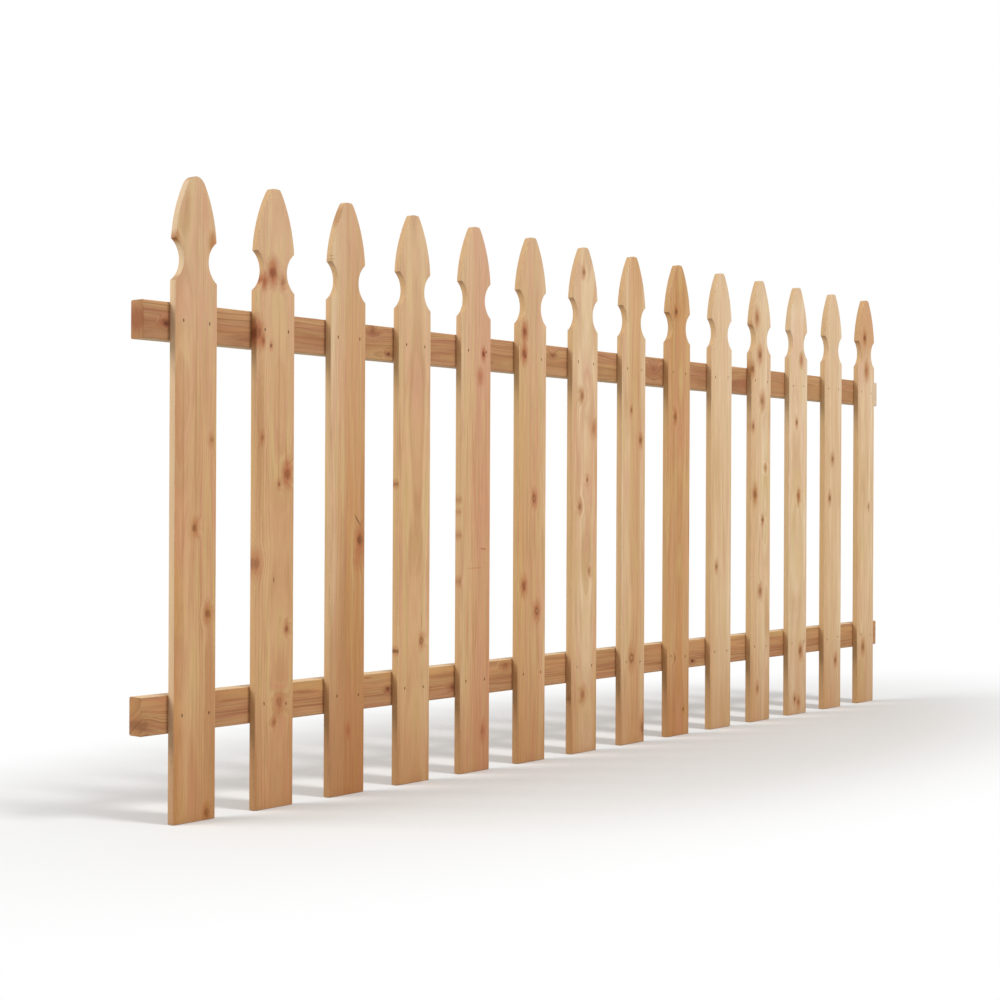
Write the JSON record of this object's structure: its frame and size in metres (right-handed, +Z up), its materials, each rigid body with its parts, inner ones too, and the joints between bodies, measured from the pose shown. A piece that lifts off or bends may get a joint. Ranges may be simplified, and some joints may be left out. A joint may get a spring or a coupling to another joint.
{
  "type": "picket fence panel",
  "caption": "Straight picket fence panel: flat pickets with a round neck, pointed arched head and small flat tip, fixed to the front of two horizontal rails whose ends bear on posts.",
  "frame": {"origin": "on the lower rail's back face, at the rail's mid height, in the middle of the length that bears on the left post", "axes": "+X along the rails towards the far end, +Y out of the rails' back faces towards the posts, +Z up; the pickets face -Y"},
  "size_m": [2.4384, 0.0457, 1.0667],
  "materials": {
    "picket_cedar": "bare sawn cedar, upright grain, matte",
    "rail_cedar": "bare planed cedar, grain along the rail, eased edges, matte"
  },
  "bodies": {
    "root": {"lower_rail": "rail_cedar", "upper_rail": "rail_cedar", "picket_01": "picket_cedar", "picket_02": "picket_cedar", "picket_03": "picket_cedar", "picket_04": "picket_cedar", "picket_05": "picket_cedar", "picket_06": "picket_cedar", "picket_07": "picket_cedar", "picket_08": "picket_cedar", "picket_09": "picket_cedar", "picket_10": "picket_cedar", "picket_11": "picket_cedar", "picket_12": "picket_cedar", "picket_13": "picket_cedar", "picket_14": "picket_cedar"}
  },
  "joints": []
}
